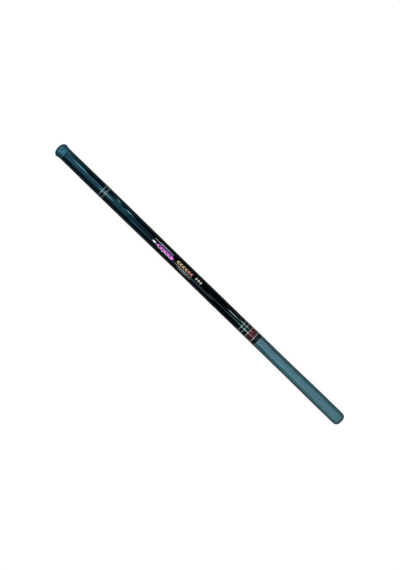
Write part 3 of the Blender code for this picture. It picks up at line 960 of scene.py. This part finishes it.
class POLE_OT_plug(bpy.types.Operator):
    """Turns the front plug with its bead, groove and domed head, and its two rubber rings."""

    bl_idname = "pole.plug"
    bl_label = "Front plug"
    bl_options = {"REGISTER", "UNDO"}

    def head_outline(self, rows):
        """The head from its nose to its seat on the mouth, where the stem starts."""
        nose, _, flat = rows[-1]
        steps = [row for row in steps_between(rows, MOUTH, nose, PLUG_STEP_HEIGHT) if row[1] > 0.0]
        (seat, stem, collar), (groove_start, groove, _), (groove_end, _, _) = steps
        head = [(x, high) for x, low, high in rows if groove_end < x < nose and low > 0.0]
        rim_x, rim = max(head, key=lambda p: p[1])
        flare = flowing([(groove_end, collar)] + [p for p in head if p[0] <= rim_x], FLARE_SPACING)
        bead = (groove_start - seat) / 2.0
        edge = GROOVE_EDGE
        outline = [(nose, 0.0)]
        outline += arc(rim_x, flat, nose - rim_x, rim - flat, 0.0, 90.0, steps=40)
        outline += flare[-2:0:-1]
        outline += rounded(groove_end + edge, collar - edge, edge, 90.0, 180.0)
        outline += rounded(groove_end - edge, groove + edge, edge, 0.0, -90.0)
        outline += rounded(groove_start + edge, groove + edge, edge, 270.0, 180.0)
        outline += arc(seat + bead, collar - BEAD_HEIGHT, bead, BEAD_HEIGHT, 0.0, 180.0, steps=14)
        outline.append((seat, stem))
        return outline, seat, stem

    def stem_outline(self, rows, seat, stem):
        """The stem with its two ring grooves, its end and the cavity inside it."""
        stem_rows = [row for row in rows if row[0] < seat]
        (start, cavity, _), (second, _, _) = stem_rows[:2]
        limit = stem - RING_GROOVE_DEPTH
        grooves = sorted({x for x, low, _ in stem_rows if CAVITY_LIMIT < low < limit and x > second})
        floor = min(low for x, low, _ in stem_rows if x in grooves)
        outline = []
        for x1, x0 in zip(grooves[::-2], grooves[-2::-2]):
            outline += [(x1, stem), (x1, floor), (x0, floor), (x0, stem)]
        end = max(x for x, low, _ in rows if abs(low - cavity) < SAME_RADIUS)
        edge = STEM_EDGE
        outline += rounded(start + edge, stem - edge, edge, 90.0, 180.0, steps=5)
        outline += [(start, cavity), (end - CAVITY_SLOPE, cavity), (end, cavity - CAVITY_SLOPE), (end, 0.0)]
        return outline

    def execute(self, context):
        shape, colours = settings_of(context)
        rows = corner_radii("front_plug")
        outline, seat, stem = self.head_outline(rows)
        outline += self.stem_outline(rows, seat, stem)
        moulding = soft_touch("plug_moulding", colours.moulded, grain=3200.0)
        bm = turned_mesh(outline, shape.facets)
        plug = "front_plug"
        place_piece("plug_moulding", bm, plug, moulding, (plug,), PLUG_CREASE)
        rubber = black_rubber()
        for number in (1, 2):
            rubber_cord_ring(f"plug_rubber_{number}", f"plug_o_ring_{number}", plug, rubber)
        return {"FINISHED"}


# Butt cap, cushion and ferrule


# Thread: radius of its root on the spigot, clearance of the ferrule, width of a flank, the half
# width of a crest on the spigot and of a groove in the ferrule, and the share of the pitch over
# which it fades in and out
ROOT_RADIUS = 0.0105060
THREAD_CLEARANCE = 0.00015
FLANK = 0.0003
CREST_HALF = 0.00025
GROOVE_HALF = 0.00040
THREAD_FADE = 0.25

# Cap: wall of the spigot, length of its rounded butt, rounding of its front edge and gap behind
# the handle, the slight dish round the flat of the butt, and the edge of the spigot
SPIGOT_WALL = 0.0020
BUTT_ROUND = 0.0080
CAP_EDGE = 0.00022
CAP_GAP = 0.00005
BUTT_DISH = 0.0004
SMALL_EDGE = 0.0002

# Spigot, from the butt of the handle on: the ring groove, its radius, the thread and its steps
RING_GROOVE = (0.0005, 0.0019)
RING_GROOVE_RADIUS = 0.0101
SPIGOT_THREAD = (0.0034, 0.0124)
SPIGOT_STEPS = 96

# The cap's cavity ends with a sloping corner between these two places
CAVITY_CORNER = 0.0060
CAVITY_FLOOR = 0.0050

# Cushion: rounding of its edges, and the rings pressed into its face
CUSHION_EDGE = 0.0004
CUSHION_RINGS = (0.0083, 0.0058, 0.0033)
CUSHION_RING_HALF = 0.0004
CUSHION_RING_DEPTH = 0.0005

# Ferrule: length of its plain entry and the room over the thread there, the thread and its steps
ENTRY_LENGTH = 0.0028
ENTRY_ROOM = 0.0001
FERRULE_THREAD = (0.0019, 0.0124)
FERRULE_STEPS = 120


def thread_form(shape, crest_half, first, last):
    """Height of a helical thread at (x, angle), fading in and out between two places."""
    pitch, depth = shape.thread_pitch, shape.thread_depth
    fading = THREAD_FADE * pitch

    def height(x, angle):
        away = (x - BUTT - pitch * angle / math.tau + pitch / 2.0) % pitch - pitch / 2.0
        rise = min(1.0, max(0.0, (crest_half + FLANK - abs(away)) / FLANK))
        fade = min(1.0, max(0.0, (x - first) / fading), max(0.0, (last - x) / fading))
        return depth * rise * fade

    return height


class POLE_OT_butt(bpy.types.Operator):
    """Turns the butt cap with its thread, its ring, the cushion and the ferrule."""

    bl_idname = "pole.butt"
    bl_label = "Butt cap and ferrule"
    bl_options = {"REGISTER", "UNDO"}

    def build_cap(self, shape, colours):
        """The rounded cap with its threaded spigot."""
        rows = corner_radii("butt_cap")
        spigot_end, flat = rows[-1][0], rows[0][2]
        root, head = ROOT_RADIUS, GRIP_LINE[0][1]
        cavity = root - SPIGOT_WALL
        back = BUTT - CAP_GAP
        edge, small = CAP_EDGE, SMALL_EDGE
        outline = [(0.0, 0.0), (0.0, flat - BUTT_DISH)]
        outline += arc(BUTT_ROUND, flat, -BUTT_ROUND, head - flat, 0.0, 90.0, steps=28)[1:]
        outline += rounded(back - edge, head - edge, edge, 90.0, 0.0, steps=5)
        outline.append((back, root))
        groove_start, groove_end = (BUTT + x for x in RING_GROOVE)
        outline += [(groove_start, root), (groove_start, RING_GROOVE_RADIUS)]
        outline += [(groove_end, RING_GROOVE_RADIUS), (groove_end, root)]
        first, last = (BUTT + x for x in SPIGOT_THREAD)
        outline += [(x, root) for x in spaced(first, last, SPIGOT_STEPS)]
        outline += rounded(spigot_end - small, root - small, small, 90.0, 0.0, steps=3)
        outline += [(spigot_end, cavity + small), (spigot_end - small, cavity)]
        corner = CAVITY_CORNER - CAVITY_FLOOR
        outline += [(CAVITY_CORNER, cavity), (CAVITY_FLOOR, cavity - corner), (CAVITY_FLOOR, 0.0)]
        height = thread_form(shape, CREST_HALF, first + small, last - small)

        def with_thread(x, radius, angle):
            return radius + height(x, angle) if first < x < last and radius == root else radius

        plastic = soft_touch("cap_moulding", colours.coating, grain=2600.0)
        bm = turned_mesh(outline, shape.facets, with_thread)
        place_piece("cap_moulding", bm, "butt_cap", plastic, ("butt_cap",))

    def build_cushion(self, shape, rubber):
        """The rubber pad that the nested sections stand on."""
        x0, x1 = ends_of("section_cushion")
        pad = corner_radii("section_cushion")
        stem, wide = pad[0][2], pad[-1][2]
        shoulder = steps_between(pad, x0, math.inf)[0][0]
        edge, half = CUSHION_EDGE, CUSHION_RING_HALF
        outline = [(x0, 0.0)]
        outline += rounded(x0 + edge, stem - edge, edge, 180.0, 90.0)
        outline.append((shoulder, stem))
        outline += rounded(shoulder + edge, wide - edge, edge, 180.0, 90.0)
        outline += rounded(x1 - edge, wide - edge, edge, 90.0, 0.0)
        for radius in CUSHION_RINGS:
            outline += [(x1, radius + half), (x1 - CUSHION_RING_DEPTH, radius), (x1, radius - half)]
        outline.append((x1, 0.0))
        bm = turned_mesh(outline, shape.facets)
        place_piece("cushion_rubber", bm, "butt_cap", rubber, ("section_cushion",))

    def build_ferrule(self, shape):
        """The ferrule in the butt of the handle, with the groove for the cap's thread."""
        start, end = ends_of("butt_ferrule")
        outer = widest("butt_ferrule")
        bore = ROOT_RADIUS + THREAD_CLEARANCE
        entry, entry_end = bore + shape.thread_depth + ENTRY_ROOM, start + ENTRY_LENGTH
        edge = SMALL_EDGE
        outline = [(start + edge, outer), (end, outer), (end, bore)]
        outline += [(x, bore) for x in spaced(end - edge, entry_end, FERRULE_STEPS)]
        outline += [(entry_end, entry), (start + edge, entry), (start, entry + edge), (start, outer - edge)]
        cut = thread_form(shape, GROOVE_HALF, *(start + x for x in FERRULE_THREAD))

        def with_groove(x, radius, angle):
            return radius + cut(x, angle) if radius == bore and entry_end < x < end - edge else radius

        bm = turned_mesh(outline, shape.facets, with_groove)
        metal = turned_aluminium()
        place_piece("ferrule_turning", bm, "handle", metal, ("butt_ferrule",))

    def execute(self, context):
        shape, colours = settings_of(context)
        self.build_cap(shape, colours)
        rubber = black_rubber()
        rubber_cord_ring("cap_rubber", "cap_o_ring", "cap_ring", rubber)
        self.build_cushion(shape, rubber)
        self.build_ferrule(shape)
        return {"FINISHED"}


# Inner sections


# Tube: facets of the thick and of the thin ones, lengthwise steps, the bevel at its base, the
# rounding of its mouth and the bevel of its bore there
THICK_FACETS = 64
THIN_FACETS = 48
LAST_THICK_SECTION = 5
TUBE_STEPS = 12
BASE_BEVEL = (0.0004, 0.0002)
TUBE_EDGE = 0.00012
BORE_BEVEL = (0.0001, 0.00005)

# Winding round the mouth: thickness, thickness at its ends, length of its slopes, steps
HOOP_THICKNESS = 0.00022
HOOP_END = 0.00005
HOOP_SLOPE = 0.0006
HOOP_STEPS = 10

# Pale line behind it: how far behind it starts and ends, height and turns
SECTION_LINE = (0.0011, 0.0003)
SECTION_LINE_HEIGHT = 0.00014
SECTION_LINE_TURNS = 3


class POLE_OT_sections(bpy.types.Operator):
    """Turns the seven inner sections with the winding at each mouth."""

    bl_idname = "pole.sections"
    bl_label = "Inner sections"
    bl_options = {"REGISTER", "UNDO"}

    def build_tube(self, body, rows, facets, lacquer):
        """A tapered tube with a bevelled base and a rounded mouth."""
        (start, base_bore, base), (end, mouth_bore, _) = rows[0], rows[-1]
        mouth = rows[-2][2]
        edge = TUBE_EDGE
        bevel_x, bevel = BASE_BEVEL
        bore_x, bore_bevel = BORE_BEVEL
        outline = [(start, base - bevel), (start + bevel_x, base)]
        outline += tapered((start, base), (end - edge, mouth), TUBE_STEPS)
        outline += rounded(end - edge, mouth - edge, edge, 90.0, 0.0)
        outline += [(end, mouth_bore + bore_bevel), (end - bore_x, mouth_bore), (start, base_bore)]
        bm = turned_mesh(outline, facets)
        place_piece(f"{body}_blank", bm, body, lacquer, (f"{body}_tube",))

    def build_hoop(self, body, over, facets, winding, thread):
        """The winding round a section's mouth, with a pale line behind it."""
        x0, x1 = ends_of(f"{body}_hoop")
        thick, slope = HOOP_THICKNESS, HOOP_SLOPE
        outline = [(x0, over(x0) - WINDING_SINK), (x0, over(x0) + HOOP_END)]
        outline.append((x0 + slope, over(x0) + thick))
        outline += [(x, over(x) + thick) for x in spaced(x0 + slope, x1 - slope, HOOP_STEPS)[1:-1]]
        outline.append((x1 - slope, over(x1) + thick))
        outline += [(x1, over(x1) + HOOP_END), (x1, over(x1) - WINDING_SINK)]
        bm = turned_mesh(outline, facets)
        place_piece(f"{body}_winding", bm, body, winding, (f"{body}_hoop",))
        line_start, line_end = (x0 - behind for behind in SECTION_LINE)
        bm = wound_ring(line_start, line_end, over, SECTION_LINE_HEIGHT, SECTION_LINE_TURNS, facets)
        place_piece(f"{body}_line", bm, body, thread, (), WINDING_CREASE)

    def execute(self, context):
        colours = context.scene.pole_colours
        lacquer, winding = section_lacquer(colours), hoop_lacquer(colours)
        thread = metallic_thread("silver_thread", colours.winding)
        for number in range(FIRST_SECTION, LAST_SECTION + 1):
            body = f"section_{number}"
            rows = corner_radii(f"{body}_tube")
            facets = THICK_FACETS if number <= LAST_THICK_SECTION else THIN_FACETS
            base, mouth = rows[0][::2], rows[-2][::2]
            self.build_tube(body, rows, facets, lacquer)

            def over(x):
                return straight(base, mouth, x)

            self.build_hoop(body, over, facets, winding, thread)
        return {"FINISHED"}


# Tip and braid


# Tip: facets, lengthwise steps, and the bevels of its base and its point
TIP_FACETS = 32
TIP_STEPS = 16
TIP_BEVEL = (0.0002, 0.0001)
POINT_BEVEL = 0.0001

# Braid: facets of all cords here, lengthwise steps, the gaps in front of the tip and round it,
# the wall over which strands are raised, then strands each way round, their turn along the
# braid in radians per metre and their height
CORD_FACETS = 48
BRAID_STEPS = 200
BRAID_FRONT_GAP = 0.0003
BRAID_GAP = 0.00003
BRAID_SKIN = 0.0003
BRAID_STRANDS = 8.0
BRAID_TURN = 3600.0
STRAND_HEIGHT = 0.00005
STRAND_ROOM = 0.00006
BRAID_CREASE = 70.0

# Whipping: height and turns of its thread. Knot: height, starts and turn of its cord, and steps.
WHIPPING_HEIGHT = 0.00016
WHIPPING_TURNS = 18
WHIPPING_COLOUR = (0.022, 0.022, 0.025)
KNOT_HEIGHT = 0.00008
KNOT_STARTS = 3.0
KNOT_TURN = 2600.0
KNOT_STEPS = 24


class POLE_OT_tip(bpy.types.Operator):
    """Turns the solid tip and builds the braid, its whipping and the knot."""

    bl_idname = "pole.tip"
    bl_label = "Tip and braid"
    bl_options = {"REGISTER", "UNDO"}

    def build_tip(self, colours):
        """The solid tip. Gives the place and the radius of its point."""
        rows = corner_radii("tip_rod")
        (start, _, base), (end, _, point) = rows[0], rows[-1]
        bevel_x, bevel = TIP_BEVEL
        outline = [(start, 0.0), (start, base - bevel), (start + bevel_x, base)]
        outline += tapered((start, base), (end, point), TIP_STEPS)
        outline += [(end - POINT_BEVEL, point), (end, point - POINT_BEVEL), (end, 0.0)]
        bm = turned_mesh(outline, TIP_FACETS)
        place_piece("tip_blank", bm, "tip", tip_glass_fibre(colours), ("tip_rod",))
        return end, point

    def build_braid(self, cord, end, point):
        """The braid over the tip's end and past it. Gives its outer radius over the tip."""
        rows = corner_radii("line_braid")
        (x0, inner, outer), (x1, _, free) = rows[0], rows[-1]
        front = end + BRAID_FRONT_GAP
        outline = []
        for x in spaced(x0, x1, BRAID_STEPS):
            way = max(0.0, (x - front) / (x1 - front))
            outline.append((x, outer - STRAND_ROOM + (free - outer) * way))
        outline += [(x1, 0.0), (front, 0.0), (front, point + BRAID_GAP), (x0, inner)]

        def strands(x, radius, angle):
            if radius < outer - BRAID_SKIN:
                return radius
            round_angle, turn = BRAID_STRANDS * angle, (x - x0) * BRAID_TURN
            return radius + STRAND_HEIGHT * math.cos(round_angle + turn) * math.cos(round_angle - turn)

        bm = turned_mesh(outline, CORD_FACETS, strands)
        place_piece("braid_cord", bm, "tip", cord, ("line_braid",), BRAID_CREASE)
        return outer

    def build_knot(self, cord):
        """The stop knot at the end of the braid."""
        x0, x1 = ends_of("braid_knot")
        half, height = (x1 - x0) / 2.0, widest("braid_knot") - KNOT_HEIGHT
        outline = arc(x0 + half, 0.0, -half, height, 0.0, 180.0, KNOT_STEPS)
        outline[0], outline[-1] = (x0, 0.0), (x1, 0.0)

        def turns(x, radius, angle):
            swell = math.sin(math.pi * (x - x0) / (x1 - x0))
            return radius + KNOT_HEIGHT * swell * math.sin(KNOT_STARTS * angle + (x - x0) * KNOT_TURN)

        bm = turned_mesh(outline, CORD_FACETS, turns)
        place_piece("knot_cord", bm, "tip", cord, ("braid_knot",), BRAID_CREASE)

    def execute(self, context):
        colours = context.scene.pole_colours
        end, point = self.build_tip(colours)
        cord = cord_weave("braid_weave", colours.braid, scale=5200.0)
        outer = self.build_braid(cord, end, point)
        x0, x1 = ends_of("braid_whipping")
        bm = wound_ring(x0, x1, lambda x: outer, WHIPPING_HEIGHT, WHIPPING_TURNS, CORD_FACETS)
        twist = cord_weave("whipping_twist", WHIPPING_COLOUR, scale=9000.0)
        node = "braid_whipping"
        place_piece("whipping_turns", bm, "tip", twist, (node,), WINDING_CREASE)
        self.build_knot(cord)
        return {"FINISHED"}


# Studio


PLAIN = (0.95, 1.0, 1.08)
COOL = (0.90, 0.98, 1.18)
WARM = (1.00, 1.0, 0.96)
GOLDEN = (1.32, 1.0, 0.84)
ROSY = (1.30, 1.0, 1.0)

# Lamps: start and end along the pole, lowest and highest angle in degrees from straight above
# towards +Y, radiance, colour and, where there is one, the lean in degrees
LAMPS = {
    "front_box": (0.66, 1.12, -38.0, 30.0, 1.14, PLAIN),
    "front_strip": (0.66, 1.00, -29.0, -20.0, 2.52, PLAIN),
    "front_strip_low": (0.66, 1.00, 3.0, 12.0, 2.7, PLAIN),
    "front_strip_side": (0.66, 1.00, 34.0, 46.0, 1.92, PLAIN),
    "front_side": (0.865, 0.94, -72.0, -38.0, 1.02, PLAIN),
    "plug_box": (0.93, 1.25, -38.0, 30.0, 0.72, PLAIN),
    "plug_side": (0.928, 1.25, -84.0, -34.0, 2.34, PLAIN),
    "plug_nose": (0.45, 1.05, -46.0, 50.0, 2.52, PLAIN, 42.0),
    "rear_box": (-0.55, 0.105, -38.0, 36.0, 1.56, COOL),
    "rear_side": (-0.55, 0.105, -66.0, -38.0, 1.5, WARM),
    "rear_side_low": (-0.55, 0.105, 36.0, 60.0, 1.5, WARM),
    "rear_side_far": (-0.55, -0.14, 52.0, 72.0, 1.02, WARM),
    "butt_end": (-0.25, 0.25, -70.0, 84.0, 1.14, WARM, -50.0),
    "middle_strip": (0.30, 0.53, 20.0, 50.0, 3.84, PLAIN),
    "middle_strip_front": (0.53, 0.64, 16.0, 44.0, 1.68, PLAIN),
    "middle_box": (0.535, 0.66, -30.0, 36.0, 0.57, PLAIN),
    "middle_strip_high": (0.53, 0.66, -31.0, -18.0, 1.08, PLAIN),
    "trim_box": (0.112, 0.21, -66.0, 22.0, 0.6, PLAIN),
    "trim_strip": (0.135, 0.32, 3.0, 26.0, 1.92, PLAIN),
    "line_front": (0.853, 0.899, -32.0, -26.0, 21.6, ROSY),
    "line_mouth_rings": (0.726, 0.784, 4.0, 10.0, 38.4, GOLDEN),
    "line_front_low": (0.700, 0.718, -64.0, -59.0, 34.8, GOLDEN),
    "line_front_mid": (0.644, 0.668, -48.5, -43.0, 50.4, ROSY),
    "line_rear": (0.206, 0.237, -36.0, -29.0, 42.0, ROSY),
    "line_trim_rings": (0.170, 0.190, -49.5, -44.5, 63.0, ROSY),
    "line_trim_rings_low": (0.155, 0.181, 20.0, 25.5, 52.8, ROSY),
}
LAMP_DISTANCE = 1.0

# Heights, as the sine of the angle above the horizon, between which the surroundings grow dimmer
HORIZON_HEIGHT = 0.01
SKY_HEIGHT = 0.18

# Floor: its corners, the gap under the pole, and how many points from the butt on hold the
# grip's widest place. Camera: the place over which it stands, and the width of its sensor.
FLOOR_CORNERS = ((-8.0, -8.0), (9.0, -8.0), (9.0, 8.0), (-8.0, 8.0))
FLOOR_GAP = 0.00002
BUTT_POINTS = 30
CAMERA_OVER = (0.35874, 0.0004)
SENSOR_WIDTH = 36.0


def lamp(name, x0, x1, low, high, radiance, colour, lean=0.0):
    """A soft lamp over X from x0 to x1, between two angles in degrees from straight above towards +Y.

    A lamp with a lean, in degrees, is swung from above towards +X about the end of the pole under it.
    """
    length, centre = x1 - x0, (x0 + x1) / 2.0
    width = 2.0 * LAMP_DISTANCE * math.tan(math.radians(high - low) / 2.0)
    data = bpy.data.lights.new(name, "AREA")
    data.shape = "RECTANGLE"
    data.size = length
    data.size_y = width
    data.color = colour
    data.energy = radiance * math.pi * length * width
    light = bpy.data.objects.new(name, data)
    light.visible_camera = False
    a = math.radians((low + high) / 2.0)
    back = Vector((0.0, math.sin(a), math.cos(a)))
    side = Vector((1.0, 0.0, 0.0))
    turned = Matrix((side, back.cross(side), back)).transposed().to_4x4()
    placed = Matrix.Translation(Vector((centre, 0.0, 0.0)) + back * LAMP_DISTANCE) @ turned
    pivot = Matrix.Translation((cad_low[0] if lean < 0.0 else cad_high[0], 0.0, 0.0))
    swing = pivot @ Matrix.Rotation(math.radians(lean), 4, "Y") @ pivot.inverted()
    light.matrix_world = swing @ placed
    bpy.context.scene.collection.objects.link(light)


def surroundings(overhead, horizon):
    """A plain room, pale near the horizon and dimmer overhead."""
    world = bpy.data.worlds.new("studio")
    world.use_nodes = True
    nodes, links = world.node_tree.nodes, world.node_tree.links
    direction = nodes.new("ShaderNodeTexCoord")
    split = nodes.new("ShaderNodeSeparateXYZ")
    links.new(direction.outputs["Generated"], split.inputs["Vector"])
    strength = nodes.new("ShaderNodeMapRange")
    strength.interpolation_type = "SMOOTHSTEP"
    strength.inputs["From Min"].default_value = HORIZON_HEIGHT
    strength.inputs["From Max"].default_value = SKY_HEIGHT
    strength.inputs["To Min"].default_value = horizon
    strength.inputs["To Max"].default_value = overhead
    links.new(split.outputs["Z"], strength.inputs["Value"])
    background = nodes["Background"]
    background.inputs["Color"].default_value = (1.0, 1.0, 1.0, 1.0)
    links.new(strength.outputs["Result"], background.inputs["Strength"])
    return world


class POLE_OT_studio(bpy.types.Operator):
    """Lays the pale floor under the pole and sets the lamps, the surroundings and the camera."""

    bl_idname = "pole.studio"
    bl_label = "Studio"
    bl_options = {"REGISTER", "UNDO"}

    def lay_floor(self, context, studio):
        """A floor that touches the rim of the plug and the widest part of the grip's rear."""
        rear = max(GRIP_LINE[:BUTT_POINTS], key=lambda p: p[1])
        front = max(outer_line("front_plug"), key=lambda p: p[1])
        bm = bmesh.new()
        corners = []
        for x, y in FLOOR_CORNERS:
            corners.append(bm.verts.new((x, y, -straight(rear, front, x) - FLOOR_GAP)))
        bm.faces.new(corners)
        mesh = bpy.data.meshes.new("floor")
        bm.to_mesh(mesh)
        bm.free()
        mesh.materials.append(pale_floor(studio.floor, studio.floor_glow))
        floor = bpy.data.objects.new("floor", mesh)
        context.scene.collection.objects.link(floor)

    def place_camera(self, context, studio):
        """A camera that looks straight down, turned as the photograph is."""
        data = bpy.data.cameras.new("camera")
        data.lens = studio.lens
        data.sensor_width = SENSOR_WIDTH
        camera = bpy.data.objects.new("camera", data)
        context.scene.collection.objects.link(camera)
        turn = Matrix.Rotation(studio.roll, 4, "Z")
        camera.matrix_world = Matrix.Translation((*CAMERA_OVER, studio.distance)) @ turn
        context.scene.camera = camera

    def execute(self, context):
        studio = context.scene.pole_studio
        self.lay_floor(context, studio)
        context.scene.world = surroundings(studio.sky, studio.horizon)
        for name, values in LAMPS.items():
            lamp(name, *values)
        self.place_camera(context, studio)
        context.scene.view_settings.view_transform = "Standard"
        return {"FINISHED"}


# Add-on


class POLE_PT_panel(bpy.types.Panel):
    """Lists the pole's settings and the operators that build it."""

    bl_label = "Telescopic pole"
    bl_idname = "POLE_PT_panel"
    bl_space_type = "VIEW_3D"
    bl_region_type = "UI"
    bl_category = "Pole"

    def draw(self, context):
        layout = self.layout
        for group in (context.scene.pole_shape, context.scene.pole_colours, context.scene.pole_studio):
            box = layout.box()
            for name in type(group).__annotations__:
                box.prop(group, name)
        for operator in OPERATORS:
            layout.operator(operator.bl_idname)


OPERATORS = (
    POLE_OT_blank,
    POLE_OT_grip,
    POLE_OT_trim,
    POLE_OT_print,
    POLE_OT_plug,
    POLE_OT_butt,
    POLE_OT_sections,
    POLE_OT_tip,
    POLE_OT_studio,
)
GROUPS = {"pole_shape": PoleShape, "pole_colours": PoleColours, "pole_studio": PoleStudio}


def register():
    """Registers the settings, the operators and the panel."""
    for group in GROUPS.values():
        bpy.utils.register_class(group)
    for operator in OPERATORS:
        bpy.utils.register_class(operator)
    bpy.utils.register_class(POLE_PT_panel)
    for name, group in GROUPS.items():
        setattr(bpy.types.Scene, name, bpy.props.PointerProperty(type=group))


def unregister():
    """Takes out what register put in."""
    for name in GROUPS:
        delattr(bpy.types.Scene, name)
    bpy.utils.unregister_class(POLE_PT_panel)
    for operator in reversed(OPERATORS):
        bpy.utils.unregister_class(operator)
    for group in reversed(list(GROUPS.values())):
        bpy.utils.unregister_class(group)


def main():
    """Builds the pole and its studio."""
    register()
    bpy.ops.pole.blank()
    bpy.ops.pole.grip()
    bpy.ops.pole.trim()
    bpy.ops.pole.print()
    bpy.ops.pole.plug()
    bpy.ops.pole.butt()
    bpy.ops.pole.sections()
    bpy.ops.pole.tip()
    bpy.ops.pole.studio()


if __name__ == "__main__":
    main()
